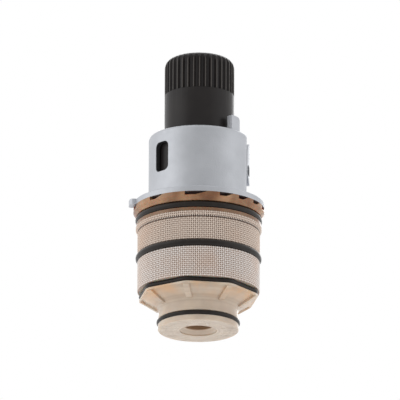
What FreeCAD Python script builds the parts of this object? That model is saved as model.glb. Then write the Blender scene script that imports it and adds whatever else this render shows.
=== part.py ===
import FreeCAD
import Part
import math
import os

from FreeCAD import Vector

# A mixing cartridge for a bath or shower tap. It stands on its outlet nose, with +Z towards the knob.
# All sizes are in millimetres. Azimuths are in degrees from the front (-Y), growing towards +X.

# Clearances between pieces
PRESS_FIT = 0.02
CLOSE_FIT = 0.05
RUNNING_FIT = 0.08
SLIDING_FIT = 0.04
LOOSE_FIT = 0.15
SEAL_SIDE_PLAY = 0.06
SEAT_PLAY = 0.02
END_PLAY = 0.35

# Ring seals: how far each reaches beyond the land beside it, or short of it, and its thickness
UPPER_SEAL_STAND_OUT = 0.4
UPPER_SEAL_SECTION = 2.62
MIDDLE_SEAL_STAND_OUT = 0.26
MIDDLE_SEAL_SECTION = 2.62
LOWER_SEAL_INSET = 0.65
LOWER_SEAL_SECTION = 1.78
NOSE_SEAL_STAND_OUT = 0.53
NOSE_SEAL_SECTION = 1.78
SLIDE_SEAL_SECTION = 1.78
SPINDLE_SEAL_SECTION = 1.5

# Travels of the inner parts
KNOB_SWING = 150.0
THREAD_LEAD = 3.0
SLIDE_TRAVEL = 0.35
SEAT_GAP = 0.5
OVERLOAD_TRAVEL = 1.5

# Outlet nose
NOSE_LAND_RADIUS = 15.27
NOSE_LAND_HEIGHT = 2.1
NOSE_EDGE_ROUND = 0.45
NOSE_UPPER_LAND_INSET = 0.07
NOSE_UPPER_LAND_HEIGHT = 0.9
NECK_INSET = 0.32
NECK_HEIGHT = 3.5
NOSE_WALL = 1.6
OUTLET_RADIUS = 5.2
OUTLET_LENGTH = 3.0
OUTLET_MOUTH_RADIUS = 7.1
OUTLET_MOUTH_DEPTH = 0.5
OUTLET_CHAMFER_HEIGHT = 1.5
CHAMBER_FILLET = 1.2
COVE_HEIGHT = 4.05
COVE_FILLET = 4.0
COVE_RIM_INSET = 0.3
OCTAGON_CORNER_RISE = 1.35
OCTAGON_INSET = 0.15
OCTAGON_THICKNESS = 0.75
OCTAGON_AZIMUTH = -12.5
OCTAGON_SIDES = 8
RIB_THICKNESS = 2.2
RIB_FOOT_STAND_OUT = 1.4
RIB_TIP_INSET = 0.6
RIB_TIP_HEIGHT = 0.3
SPIGOT_HEIGHT = 3.0
SPIGOT_WALL = 3.1

# Cage that holds the strainers, the seals and the slide's bore
CAGE_BORE_STEP = 2.65
CAGE_DEPTH = 6.0
STRAINER_INSET = 0.7
STRAINER_THICKNESS = 0.3
LOWER_STRAINER_HEIGHT = 11.75
UPPER_STRAINER_HEIGHT = 8.66
BAND_HEIGHT = 2.3
LAND_HEIGHT = 1.25
COLLAR_FOOT_STAND_OUT = 0.1
COLLAR_CHAMFER_HEIGHT = 1.6
COLLAR_RIM_HEIGHT = 1.7
COLLAR_WALL = 1.8
DECK_THICKNESS = 2.3
CAGE_NECK_HEIGHT = 3.85
CAGE_NECK_WALL = 3.0
PORT_COUNT = 8
PORT_RIB_DEGREES = 12.0
PORT_LAND = 0.6
PORT_DIVIDER = 5.2
PORT_AZIMUTH = 7.5

# Notches under the metal flange: the azimuth where each starts and how wide it is
NOTCH_DEPTH = 1.45
NOTCH_FLOOR_INSET = 2.2
NOTCH_FLAT_SHARE = 0.45
FRONT_NOTCHES = ((-48.5, 15.8), (-12.5, 21.0), (18.5, 13.5))
SIDE_NOTCH_START = 37.5
SIDE_NOTCH_WIDTH = 12.0
SIDE_NOTCH_PITCH = 18.5
SIDE_NOTCH_COUNT = 14

# Mesh of the strainers, as a few large gaps in one wall
STRAINER_EDGE = 0.8
STRAINER_COLUMNS = 36
STRAINER_BAR = 0.8
LOWER_STRAINER_ROWS = 3
UPPER_STRAINER_ROWS = 2

# Metal housing
FLANGE_STAND_OUT = 1.2
FLANGE_HEIGHT = 2.2
FLANGE_EDGE_ROUND = 0.5
EAR_AZIMUTH = -80.0
EAR_STAND_OUT = 1.9
EAR_WIDTH = 5.0
EAR_ROUND = 1.2
HOUSING_SPIGOT_DEPTH = 3.1
GUIDE_CHAMBER_WALL = 1.1
BARREL_INSET = 5.7
BARREL_HEIGHT = 25.9
BARREL_WALL = 1.9
BARREL_EDGE_ROUND = 1.4
BARREL_FOOT_FILLET = 0.6
BARREL_TOP_THICKNESS = 2.5
FLAT_INSET = 1.1
PAD_HEIGHT = 16.0
PAD_WIDTH = 11.2
PAD_TOP_INSET = 2.4
SIDE_WINDOW_HEIGHT = 4.1
SIDE_WINDOW_WIDTH = 4.4
SIDE_WINDOW_LEVEL = 12.2
SIDE_WINDOW_ROUND = 1.2
SIDE_WINDOW_AZIMUTH = 81.0
WINDOW_AZIMUTHS = (-48.2, 131.8)
WINDOW_WIDTH = 6.9
WINDOW_HEIGHT = 11.6
WINDOW_LEVEL = 15.0
WINDOW_ROUND = 2.0
LUG_FROM_AZIMUTH = 46.0
LUG_TO_AZIMUTH = 63.0
LUG_HOLE_CLEARANCE = 1.35
LUG_INSET = 1.9
LUG_HEIGHT = 5.9
LUG_ROUND = 1.6

# Knob, which is the nut that drives the spindle
KNOB_INSET = 5.9
KNOB_RELIEF = 0.2
KNOB_RELIEF_MARGIN = 0.1
KNOB_SHANK_HEIGHT = 16.8
SPLINE_HEIGHT = 14.45
SPLINE_COUNT = 36
SPLINE_DEPTH = 0.9
SPLINE_CREST_SHARE = 0.27
SPLINE_ROOT_SHARE = 0.5
KNOB_CROWN_INSET = 1.6
KNOB_CROWN_HEIGHT = 3.7
KNOB_WALL = 2.4
NUT_CLEARANCE = 0.3
NUT_SKIRT_WALL = 1.7
NUT_THREAD_WALL = 2.4
NUT_WEB_HEIGHT = 5.0
NUT_WEB_FILLET = 1.0
NUT_THREAD_HEIGHT = 19.6
WASHER_THICKNESS = 0.35
INSERT_RADIUS = 3.5
INSERT_LENGTH = 10.0
HANDLE_SCREW_RADIUS = 2.1
HANDLE_SCREW_DEPTH = 9.0

# Spindle and the overload parts inside it
SPINDLE_RADIUS = 7.9
SPINDLE_FLAT = 6.2
SPINDLE_FLOOR = 0.9
SPRING_CHAMBER_RADIUS = 5.2
STEM_RADIUS = 7.05
PLUG_LENGTH = 2.6
PLUG_SOCKET_RADIUS = 1.8
PLUG_SOCKET_DEPTH = 1.6
PLUNGER_RADIUS = 3.0
PLUNGER_FLANGE_HEIGHT = 2.0
PLUNGER_STAND_OUT = 0.4
PISTON_RADIUS = 1.5
PISTON_SOCKET_DEPTH = 3.0
OVERLOAD_WIRE = 1.5
OVERLOAD_TURNS = 6

# Guide plate that stops the spindle turning
GUIDE_PLATE_THICKNESS = 2.55
GUIDE_SKIRT_WALL = 2.2
GUIDE_SLOTS = 6
GUIDE_SLOT_WIDTH = 4.0
GUIDE_SLOT_ROUND = 1.0

# Regulating slide and the wax element in it
SLIDE_INSET = 1.6
SLIDE_WALL = 1.3
SLIDE_LAND = 1.1
HUB_LEVEL = 4.6
HUB_THICKNESS = 3.0
HUB_RIM_RADIUS = 9.6
HUB_RIM_HEIGHT = 2.9
SPOKE_COUNT = 4
SPOKE_WIDTH = 3.0
CAPSULE_RADIUS = 6.0
CAPSULE_LENGTH = 16.8
CAPSULE_ROUND = 1.2
CAPSULE_FLANGE_RADIUS = 8.2
CAPSULE_FLANGE_HEIGHT = 1.5
ELEMENT_GUIDE_RADIUS = 3.6
ELEMENT_GUIDE_HEIGHT = 9.4
ELEMENT_BORE_FLOOR = 1.4
CLIP_THICKNESS = 0.7
CLIP_INNER_RADIUS = 6.9
CLIP_GROOVE_DEPTH = 0.35
CLIP_GAP = 2.1
RETURN_SPRING_RADIUS = 9.0
RETURN_WIRE = 1.6
RETURN_TURNS = 4

# Sides of the springs' wire, and how much of a side a fillet may take
WIRE_SIDES = 12
FILLET_SHARE = 0.48


def groove_width(section):
    return section + 2 * SEAL_SIDE_PLAY


def groove_floor(reach, section):
    return reach - section - SEAT_PLAY


# Levels, from the foot of the nose upwards
z_nose_groove = NOSE_LAND_HEIGHT
z_nose_upper_land = z_nose_groove + groove_width(NOSE_SEAL_SECTION)
z_neck = z_nose_upper_land + NOSE_UPPER_LAND_HEIGHT
z_cove = z_neck + NECK_HEIGHT
z_octagon = z_cove + COVE_HEIGHT
z_lower_groove = z_octagon + OCTAGON_THICKNESS
z_lower_strainer = z_lower_groove + groove_width(LOWER_SEAL_SECTION)
z_middle_groove = z_lower_strainer + LOWER_STRAINER_HEIGHT
z_upper_strainer = z_middle_groove + groove_width(MIDDLE_SEAL_SECTION)
z_band = z_upper_strainer + UPPER_STRAINER_HEIGHT
z_land = z_band + BAND_HEIGHT
z_upper_groove = z_land + LAND_HEIGHT
z_collar = z_upper_groove + groove_width(UPPER_SEAL_SECTION)
z_collar_rim = z_collar + COLLAR_CHAMFER_HEIGHT
z_flange = z_collar_rim + COLLAR_RIM_HEIGHT
z_barrel = z_flange + FLANGE_HEIGHT
z_barrel_top = z_barrel + BARREL_HEIGHT
z_splines = z_barrel_top + KNOB_SHANK_HEIGHT
z_knob_top = z_splines + SPLINE_HEIGHT

# Radii and levels that follow from them
knob_travel = THREAD_LEAD * KNOB_SWING / 360
neck_radius = NOSE_LAND_RADIUS - NECK_INSET
cage_bore_radius = neck_radius + CAGE_BORE_STEP
land_radius = cage_bore_radius + CAGE_DEPTH
strainer_radius = land_radius - STRAINER_INSET
flange_radius = land_radius + FLANGE_STAND_OUT
barrel_radius = flange_radius - BARREL_INSET
knob_radius = barrel_radius - KNOB_INSET
knob_crown_radius = knob_radius - KNOB_CROWN_INSET
upper_seal_reach = land_radius + UPPER_SEAL_STAND_OUT
middle_seal_reach = land_radius + MIDDLE_SEAL_STAND_OUT
lower_seal_reach = land_radius - LOWER_SEAL_INSET
nose_seal_reach = NOSE_LAND_RADIUS + NOSE_SEAL_STAND_OUT
octagon_reach = lower_seal_reach - OCTAGON_INSET
slide_radius = cage_bore_radius - SLIDE_INSET
nose_groove_floor = groove_floor(nose_seal_reach, NOSE_SEAL_SECTION)
lower_groove_floor = groove_floor(lower_seal_reach, LOWER_SEAL_SECTION)
middle_groove_floor = groove_floor(middle_seal_reach, MIDDLE_SEAL_SECTION)
upper_groove_floor = groove_floor(upper_seal_reach, UPPER_SEAL_SECTION)
chamber_radius = nose_groove_floor - NOSE_WALL
z_outlet = OUTLET_MOUTH_DEPTH + OUTLET_CHAMFER_HEIGHT
z_nose_floor = z_outlet + OUTLET_LENGTH
z_nose_seat = z_lower_groove + SPIGOT_HEIGHT
spigot_radius = cage_bore_radius - LOOSE_FIT
frame_radius = strainer_radius - STRAINER_THICKNESS - SLIDING_FIT
band_seat_radius = land_radius - STRAINER_THICKNESS - SLIDING_FIT
collar_bore_radius = upper_groove_floor - COLLAR_WALL
z_deck_top = z_upper_groove
z_deck = z_deck_top - DECK_THICKNESS
z_cage_neck_top = z_deck_top + CAGE_NECK_HEIGHT
z_bore_middle = z_middle_groove + groove_width(MIDDLE_SEAL_SECTION) / 2
neck_bore_radius = STEM_RADIUS + CLOSE_FIT
housing_spigot_radius = collar_bore_radius - CLOSE_FIT
guide_chamber_radius = barrel_radius - GUIDE_CHAMBER_WALL
z_guide_plate = z_barrel
z_guide_top = z_guide_plate + GUIDE_PLATE_THICKNESS
z_guide_shoulder = z_guide_top + CLOSE_FIT
nut_chamber_radius = barrel_radius - BARREL_WALL
z_barrel_ceiling = z_barrel_top - BARREL_TOP_THICKNESS
z_relief_top = z_barrel_top + LUG_HEIGHT + KNOB_RELIEF_MARGIN
knob_hole_radius = knob_radius + LOOSE_FIT
nut_skirt_radius = nut_chamber_radius - NUT_CLEARANCE
z_washer = z_barrel_ceiling - SEAT_PLAY - WASHER_THICKNESS
z_nut_shoulder = z_washer - SEAT_PLAY
z_nut = z_guide_top + END_PLAY
nut_thread_radius = SPINDLE_RADIUS + RUNNING_FIT
z_thread_top = z_nut + NUT_THREAD_HEIGHT
z_spindle_shoulder = z_cage_neck_top + knob_travel + END_PLAY
z_spindle_thread = z_guide_top + knob_travel + END_PLAY
z_spindle_top = z_thread_top - knob_travel - END_PLAY
z_stem = z_deck + knob_travel
z_spring_chamber = z_spindle_shoulder + SPINDLE_FLOOR
z_plunger = z_stem - OVERLOAD_TRAVEL - PLUNGER_STAND_OUT
z_plunger_flange = z_spring_chamber + SEAT_PLAY
z_plunger_top = z_plunger_flange + PLUNGER_FLANGE_HEIGHT
z_plug = z_spindle_top - END_PLAY - PLUG_LENGTH
z_slide = z_nose_seat + SEAT_GAP
z_slide_top = z_deck - SEAT_GAP
slide_flange_radius = cage_bore_radius - RUNNING_FIT
slide_seal_reach = cage_bore_radius - SLIDING_FIT
z_hub = z_slide + HUB_LEVEL
z_hub_top = z_hub + HUB_THICKNESS
z_capsule = z_hub_top - CAPSULE_LENGTH
z_element_guide = z_hub_top + CAPSULE_FLANGE_HEIGHT
z_element_top = z_element_guide + ELEMENT_GUIDE_HEIGHT
z_element_bore = z_element_guide + ELEMENT_BORE_FLOOR
z_clip = z_element_guide + CLOSE_FIT
z_piston = z_element_bore + knob_travel + SLIDE_TRAVEL + END_PLAY
element_bore_radius = PISTON_RADIUS + SLIDING_FIT


def outline(corners):
    """Closed wire in the XZ plane. Each corner is (radius, height) or (radius, height, fillet)."""
    points = [Vector(c[0], 0, c[1]) for c in corners]
    fillets = [c[2] if len(c) > 2 else 0.0 for c in corners]
    starts, ends, arcs = [], [], []
    for i, point in enumerate(points):
        back = points[i - 1] - point
        ahead = points[(i + 1) % len(points)] - point
        if not fillets[i]:
            starts.append(point)
            ends.append(point)
            arcs.append(None)
            continue
        half = back.getAngle(ahead) / 2
        longest = FILLET_SHARE * min(back.Length, ahead.Length)
        run = min(fillets[i] / math.tan(half), longest)
        radius = run * math.tan(half)
        back.normalize()
        ahead.normalize()
        inward = back + ahead
        inward.normalize()
        middle = point + inward * (radius / math.sin(half) - radius)
        starts.append(point + back * run)
        ends.append(point + ahead * run)
        arcs.append(Part.Arc(starts[i], middle, ends[i]).toShape())
    edges = []
    for i in range(len(points)):
        if arcs[i]:
            edges.append(arcs[i])
        following = starts[(i + 1) % len(points)]
        if ends[i].distanceToPoint(following) > 1e-6:
            edges.append(Part.LineSegment(ends[i], following).toShape())
    return Part.Wire(edges)


def turned(corners, degrees=360.0):
    """Solid of revolution about Z of an outline in the XZ plane."""
    return Part.Face(outline(corners)).revolve(Vector(), Vector(0, 0, 1), degrees)


def tube(inner, outer, low, high):
    """Plain ring or sleeve. An inner radius of 0 makes a disc."""
    return turned([(inner, low), (outer, low), (outer, high), (inner, high)])


def at_azimuth(shape, azimuth):
    """Turns a shape that was made along +X to an azimuth."""
    turned_shape = shape.copy()
    turned_shape.rotate(Vector(), Vector(0, 0, 1), azimuth - 90.0)
    return turned_shape


def sector(inner, outer, low, high, start, finish):
    """Part of a ring between two azimuths."""
    corners = [(inner, low), (outer, low), (outer, high), (inner, high)]
    return at_azimuth(turned(corners, finish - start), start)


def rounded_plate(width, height, fillet, level, inner, outer):
    """Block along +X from one radius to another, with a rounded rectangle for its section."""
    half_width, half_height = width / 2, height / 2
    corners = [
        (-half_width, level - half_height, fillet),
        (half_width, level - half_height, fillet),
        (half_width, level + half_height, fillet),
        (-half_width, level + half_height, fillet),
    ]
    block = Part.Face(outline(corners)).extrude(Vector(0, outer - inner, 0))
    block.rotate(Vector(), Vector(0, 0, 1), -90)
    block.translate(Vector(inner, 0, 0))
    return block


def ring_seal(reach, section, level):
    """Ring seal that reaches a radius, with its middle at a level."""
    return Part.makeTorus(reach - section / 2, section / 2, Vector(0, 0, level))


def coil_spring(radius, wire, turns, low, high):
    """Coil of round wire between two levels."""
    rise = high - low - wire
    path = Part.makeHelix(rise / turns, rise, radius)
    corners = []
    for i in range(WIRE_SIDES + 1):
        angle = 2 * math.pi * i / WIRE_SIDES
        corners.append(Vector(radius + wire / 2 * math.cos(angle), 0, wire / 2 * math.sin(angle)))
    section = Part.makePolygon(corners)
    coil = Part.Wire(path).makePipeShell([section], True, True)
    coil.translate(Vector(0, 0, low + wire / 2))
    return coil


def octagon_wire(reach, level):
    """Closed wire of an eight-sided outline with round corners that reach a radius."""
    corner_angle = math.radians(180.0 / OCTAGON_SIDES)
    sharp_reach = (reach - OCTAGON_CORNER_RISE) / math.cos(corner_angle)
    fillet = (sharp_reach - reach) / (1 / math.cos(corner_angle) - 1)
    corners = []
    for i in range(OCTAGON_SIDES):
        angle = 2 * math.pi * i / OCTAGON_SIDES
        corners.append((sharp_reach * math.cos(angle), sharp_reach * math.sin(angle), fillet))
    wire = outline(corners)
    wire.rotate(Vector(), Vector(1, 0, 0), 90)
    wire.translate(Vector(0, 0, level))
    return at_azimuth(wire, OCTAGON_AZIMUTH)


def octagon_plate(inner, reach, low, high):
    """Eight-sided plate with round corners and a round hole."""
    plate = Part.Face(octagon_wire(reach, low)).extrude(Vector(0, 0, high - low))
    return plate.cut(tube(0, inner, low, high))


def octagon_seal(reach, section, level):
    """Ring seal stretched round an eight-sided seat."""
    rods = []
    for edge in octagon_wire(reach - section / 2, level).Edges:
        start = edge.FirstParameter
        circle = Part.makeCircle(section / 2, edge.valueAt(start), edge.tangentAt(start))
        rods.append(Part.Wire(edge).makePipeShell([Part.Wire(circle)], True, True))
    return rods[0].fuse(rods[1:]).removeSplitter()


def cove_rib():
    """Low rib that runs up the nose's cove to a corner of the octagon."""
    tip = octagon_reach - RIB_TIP_INSET
    corners = [
        (chamber_radius + NOSE_WALL, z_cove),
        (neck_radius + RIB_FOOT_STAND_OUT, z_cove),
        (tip, z_octagon - RIB_TIP_HEIGHT),
        (tip, z_octagon + OCTAGON_THICKNESS / 2),
        (chamber_radius + NOSE_WALL, z_octagon + OCTAGON_THICKNESS / 2),
    ]
    rib = Part.Face(outline(corners)).extrude(Vector(0, RIB_THICKNESS, 0))
    rib.translate(Vector(0, -RIB_THICKNESS / 2, 0))
    return rib


def nose_body():
    """Outlet nose, screwed into the cage's foot. Mixed water leaves through it."""
    seat_inner = spigot_radius - SPIGOT_WALL
    cove_rim = octagon_reach - OCTAGON_CORNER_RISE - COVE_RIM_INSET
    upper_land = NOSE_LAND_RADIUS - NOSE_UPPER_LAND_INSET
    body = turned(
        [
            (OUTLET_MOUTH_RADIUS, 0),
            (NOSE_LAND_RADIUS, 0, NOSE_EDGE_ROUND),
            (NOSE_LAND_RADIUS, z_nose_groove),
            (nose_groove_floor, z_nose_groove),
            (nose_groove_floor, z_nose_upper_land),
            (upper_land, z_nose_upper_land),
            (upper_land, z_neck),
            (neck_radius, z_neck),
            (neck_radius, z_cove, COVE_FILLET),
            (cove_rim, z_octagon),
            (cove_rim, z_lower_groove),
            (spigot_radius, z_lower_groove),
            (spigot_radius, z_nose_seat),
            (seat_inner, z_nose_seat),
            (seat_inner, z_octagon),
            (chamber_radius, z_neck),
            (chamber_radius, z_nose_floor, CHAMBER_FILLET),
            (OUTLET_RADIUS, z_nose_floor),
            (OUTLET_RADIUS, z_outlet),
            (OUTLET_MOUTH_RADIUS, OUTLET_MOUTH_DEPTH),
        ]
    )
    plate = octagon_plate(spigot_radius - CLOSE_FIT, octagon_reach, z_octagon, z_lower_groove)
    rib = cove_rib()
    ribs = []
    for i in range(OCTAGON_SIDES):
        ribs.append(at_azimuth(rib, OCTAGON_AZIMUTH + i * 360.0 / OCTAGON_SIDES))
    return body.fuse([plate] + ribs).removeSplitter()


def ports(low, high):
    """Openings all round the cage between two levels."""
    pitch = 360.0 / PORT_COUNT
    half = (pitch - PORT_RIB_DEGREES) / 2
    outer = strainer_radius + STRAINER_THICKNESS
    inner = cage_bore_radius - SLIDE_WALL
    openings = []
    for i in range(PORT_COUNT):
        middle = PORT_AZIMUTH + i * pitch
        openings.append(sector(inner, outer, low, high, middle - half, middle + half))
    return openings


def notch(start, width):
    """Wedge-shaped notch in the collar's rim: upright at its start, then flat, then a ramp up."""
    span = math.radians(width) * flange_radius
    left = -span / 2
    floor = z_flange - NOTCH_DEPTH
    corners = [
        (left, floor),
        (left + span * NOTCH_FLAT_SHARE, floor),
        (left + span, z_flange),
        (left + span, z_flange + NOTCH_DEPTH),
        (left, z_flange + NOTCH_DEPTH),
    ]
    reach = 2 * NOTCH_DEPTH + flange_radius - (land_radius - NOTCH_FLOOR_INSET)
    wedge = Part.Face(outline(corners)).extrude(Vector(0, reach, 0))
    wedge.rotate(Vector(), Vector(0, 0, 1), 90)
    wedge.translate(Vector(flange_radius + 2 * NOTCH_DEPTH, 0, 0))
    return at_azimuth(wedge, start + width / 2)


def cage_body():
    """Moulded cage: seats for the seals and strainers, ports, the slide's bore and the deck above it."""
    neck_radius = neck_bore_radius + CAGE_NECK_WALL
    cage = turned(
        [
            (cage_bore_radius, z_lower_strainer),
            (frame_radius, z_lower_strainer),
            (frame_radius, z_middle_groove),
            (middle_groove_floor, z_middle_groove),
            (middle_groove_floor, z_upper_strainer),
            (frame_radius, z_upper_strainer),
            (frame_radius, z_band),
            (band_seat_radius, z_band),
            (band_seat_radius, z_land),
            (land_radius, z_land),
            (land_radius, z_upper_groove),
            (upper_groove_floor, z_upper_groove),
            (upper_groove_floor, z_collar),
            (land_radius + COLLAR_FOOT_STAND_OUT, z_collar),
            (flange_radius, z_collar_rim),
            (flange_radius, z_flange),
            (collar_bore_radius, z_flange),
            (collar_bore_radius, z_deck_top),
            (neck_radius, z_deck_top),
            (neck_radius, z_cage_neck_top),
            (neck_bore_radius, z_cage_neck_top),
            (neck_bore_radius, z_deck),
            (cage_bore_radius, z_deck),
        ]
    )
    foot = octagon_plate(cage_bore_radius, lower_groove_floor, z_lower_groove, z_lower_strainer)
    cage = cage.fuse(foot)
    cutters = ports(z_nose_seat + PORT_LAND, z_bore_middle - PORT_DIVIDER / 2)
    cutters += ports(z_bore_middle + PORT_DIVIDER / 2, z_band - PORT_LAND)
    notches = list(FRONT_NOTCHES)
    for i in range(SIDE_NOTCH_COUNT):
        notches.append((SIDE_NOTCH_START + i * SIDE_NOTCH_PITCH, SIDE_NOTCH_WIDTH))
    cutters += [notch(start, width) for start, width in notches]
    return cage.cut(cutters).removeSplitter()


def mesh_gaps(low, high, rows):
    """Bars through the whole sleeve, each of which cuts two opposite gaps."""
    pitch = 360.0 / STRAINER_COLUMNS
    width = math.radians(pitch) * strainer_radius - STRAINER_BAR
    row_pitch = (high - low - 2 * STRAINER_EDGE + STRAINER_BAR) / rows
    reach = 2 * strainer_radius
    cutters = []
    for row in range(rows):
        foot = low + STRAINER_EDGE + row * row_pitch
        for column in range(STRAINER_COLUMNS // 2):
            corner = Vector(-reach, -width / 2, foot)
            bar = Part.makeBox(2 * reach, width, row_pitch - STRAINER_BAR, corner)
            cutters.append(at_azimuth(bar, column * pitch))
    return cutters


def strainer_lower():
    """Sleeve of woven mesh round the lower ports."""
    inner = strainer_radius - STRAINER_THICKNESS
    sleeve = tube(inner, strainer_radius, z_lower_strainer, z_middle_groove)
    return sleeve.cut(mesh_gaps(z_lower_strainer, z_middle_groove, LOWER_STRAINER_ROWS))


def strainer_upper():
    """Sleeve of woven mesh round the upper ports, with a wider band at its top."""
    sleeve = turned(
        [
            (strainer_radius - STRAINER_THICKNESS, z_upper_strainer),
            (strainer_radius, z_upper_strainer),
            (strainer_radius, z_band - STRAINER_THICKNESS),
            (land_radius, z_band - STRAINER_THICKNESS),
            (land_radius, z_land),
            (land_radius - STRAINER_THICKNESS, z_land),
            (land_radius - STRAINER_THICKNESS, z_band),
            (strainer_radius - STRAINER_THICKNESS, z_band),
        ]
    )
    top = z_band - STRAINER_THICKNESS
    return sleeve.cut(mesh_gaps(z_upper_strainer, top, UPPER_STRAINER_ROWS))


def seal_upper():
    level = z_upper_groove + groove_width(UPPER_SEAL_SECTION) / 2
    return ring_seal(upper_seal_reach, UPPER_SEAL_SECTION, level)


def seal_middle():
    return ring_seal(middle_seal_reach, MIDDLE_SEAL_SECTION, z_bore_middle)


def seal_lower():
    level = z_lower_groove + groove_width(LOWER_SEAL_SECTION) / 2
    return octagon_seal(lower_seal_reach, LOWER_SEAL_SECTION, level)


def seal_nose():
    level = z_nose_groove + groove_width(NOSE_SEAL_SECTION) / 2
    return ring_seal(nose_seal_reach, NOSE_SEAL_SECTION, level)


def flange_ear():
    """Rounded ear on the flange that locates the cartridge in the tap."""
    root = barrel_radius
    ear_reach = flange_radius + EAR_STAND_OUT
    length = ear_reach - root
    ear = Part.makeBox(length, EAR_WIDTH, FLANGE_HEIGHT, Vector(root, -EAR_WIDTH / 2, z_flange))
    corners = []
    for edge in ear.Edges:
        box = edge.BoundBox
        if box.ZLength > FLANGE_HEIGHT / 2 and box.XMin > ear_reach - CLOSE_FIT:
            corners.append(edge)
    return at_azimuth(ear.makeFillet(EAR_ROUND, corners), EAR_AZIMUTH)


def stop_lug():
    """Lug on the barrel's top rim that stops the handle's ring."""
    lug = sector(
        knob_hole_radius + LUG_HOLE_CLEARANCE,
        barrel_radius - LUG_INSET,
        z_barrel_top - CLOSE_FIT,
        z_barrel_top + LUG_HEIGHT,
        LUG_FROM_AZIMUTH,
        LUG_TO_AZIMUTH,
    )
    middle = math.radians((LUG_FROM_AZIMUTH + LUG_TO_AZIMUTH) / 2 - 90.0)
    tangent = Vector(-math.sin(middle), math.cos(middle), 0)
    top = z_barrel_top + LUG_HEIGHT
    corners = []
    for edge in lug.Edges:
        box = edge.BoundBox
        across = edge.CenterOfMass.dot(tangent)
        if box.ZLength < CLOSE_FIT and box.ZMax > top - CLOSE_FIT and across > LUG_ROUND:
            corners.append(edge)
    return lug.makeFillet(LUG_ROUND, corners)


def head_housing():
    """Die-cast head: flange, spigot into the cage, and the barrel that holds the nut."""
    spigot_foot = z_flange - HOUSING_SPIGOT_DEPTH
    body = turned(
        [
            (guide_chamber_radius, spigot_foot),
            (housing_spigot_radius, spigot_foot),
            (housing_spigot_radius, z_flange),
            (flange_radius, z_flange),
            (flange_radius, z_barrel, FLANGE_EDGE_ROUND),
            (barrel_radius, z_barrel, BARREL_FOOT_FILLET),
            (barrel_radius, z_barrel_top, BARREL_EDGE_ROUND),
            (knob_hole_radius, z_barrel_top),
            (knob_hole_radius, z_barrel_ceiling),
            (nut_chamber_radius, z_barrel_ceiling),
            (nut_chamber_radius, z_guide_shoulder),
            (guide_chamber_radius, z_guide_shoulder),
        ]
    )
    pad_level = z_barrel_top - PAD_TOP_INSET - PAD_HEIGHT / 2
    slab_length = barrel_radius
    slab_height = BARREL_HEIGHT + FLANGE_EDGE_ROUND
    slab_corner = Vector(barrel_radius - FLAT_INSET, -slab_length, z_barrel)
    slab = Part.makeBox(slab_length, 2 * slab_length, slab_height, slab_corner)
    pad = rounded_plate(PAD_WIDTH, PAD_HEIGHT, PAD_WIDTH / 2, pad_level, 0, 2 * slab_length)
    cutters = [slab.cut(pad)]
    side_window_level = z_barrel + SIDE_WINDOW_LEVEL
    side_window = rounded_plate(
        SIDE_WINDOW_WIDTH,
        SIDE_WINDOW_HEIGHT,
        SIDE_WINDOW_ROUND,
        side_window_level,
        knob_radius,
        flange_radius,
    )
    cutters.append(at_azimuth(side_window, SIDE_WINDOW_AZIMUTH))
    window = rounded_plate(
        WINDOW_WIDTH,
        WINDOW_HEIGHT,
        WINDOW_ROUND,
        z_barrel + WINDOW_LEVEL,
        knob_radius,
        flange_radius,
    )
    for azimuth in WINDOW_AZIMUTHS:
        cutters.append(at_azimuth(window, azimuth))
    return body.cut(cutters).fuse([flange_ear(), stop_lug()]).removeSplitter()


def double_d(radius, flat, low, high):
    """Shaft section with two flats, facing the front and the back."""
    shaft = Part.makeCylinder(radius, high - low, Vector(0, 0, low))
    block = Part.makeBox(2 * radius, 2 * flat, high - low, Vector(-radius, -flat, low))
    return shaft.common(block)


def spindle_guide():
    """Cup that stands on the deck. The flats of its hole stop the spindle turning."""
    outer = guide_chamber_radius - CLOSE_FIT
    cup = turned(
        [
            (0, z_guide_plate),
            (outer - GUIDE_SKIRT_WALL, z_guide_plate),
            (outer - GUIDE_SKIRT_WALL, z_deck_top),
            (outer, z_deck_top),
            (outer, z_guide_top),
            (0, z_guide_top),
        ]
    )
    hole = double_d(
        SPINDLE_RADIUS + RUNNING_FIT, SPINDLE_FLAT + RUNNING_FIT, z_guide_plate, z_guide_top
    )
    cutters = [hole]
    slot_foot = z_deck_top + GUIDE_PLATE_THICKNESS
    slot_height = z_guide_plate - GUIDE_PLATE_THICKNESS - slot_foot
    for i in range(GUIDE_SLOTS):
        slot = rounded_plate(
            GUIDE_SLOT_WIDTH,
            slot_height,
            GUIDE_SLOT_ROUND,
            slot_foot + slot_height / 2,
            outer - 2 * GUIDE_SKIRT_WALL,
            outer + GUIDE_SKIRT_WALL,
        )
        cutters.append(at_azimuth(slot, i * 360.0 / GUIDE_SLOTS))
    return cup.cut(cutters)


def knob_washer():
    return tube(knob_hole_radius, nut_skirt_radius, z_washer, z_washer + WASHER_THICKNESS)


def return_spring():
    low = z_nose_floor + SEAT_PLAY
    high = z_hub - SLIDE_TRAVEL
    return coil_spring(RETURN_SPRING_RADIUS, RETURN_WIRE, RETURN_TURNS, low, high)


def spline_ring():
    """Splined head as one prism. Each spline has a narrow crest and sloping sides."""
    root = knob_radius - SPLINE_DEPTH
    pitch = 2 * math.pi / SPLINE_COUNT
    corners = []
    for i in range(SPLINE_COUNT):
        middle = i * pitch
        for share, radius in (
            (-SPLINE_ROOT_SHARE / 2, root),
            (-SPLINE_CREST_SHARE / 2, knob_radius),
            (SPLINE_CREST_SHARE / 2, knob_radius),
            (SPLINE_ROOT_SHARE / 2, root),
        ):
            angle = middle + share * pitch
            corners.append(Vector(radius * math.cos(angle), radius * math.sin(angle), z_splines))
    ring = Part.makePolygon(corners + corners[:1])
    return Part.Face(ring).extrude(Vector(0, 0, SPLINE_HEIGHT))


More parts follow.
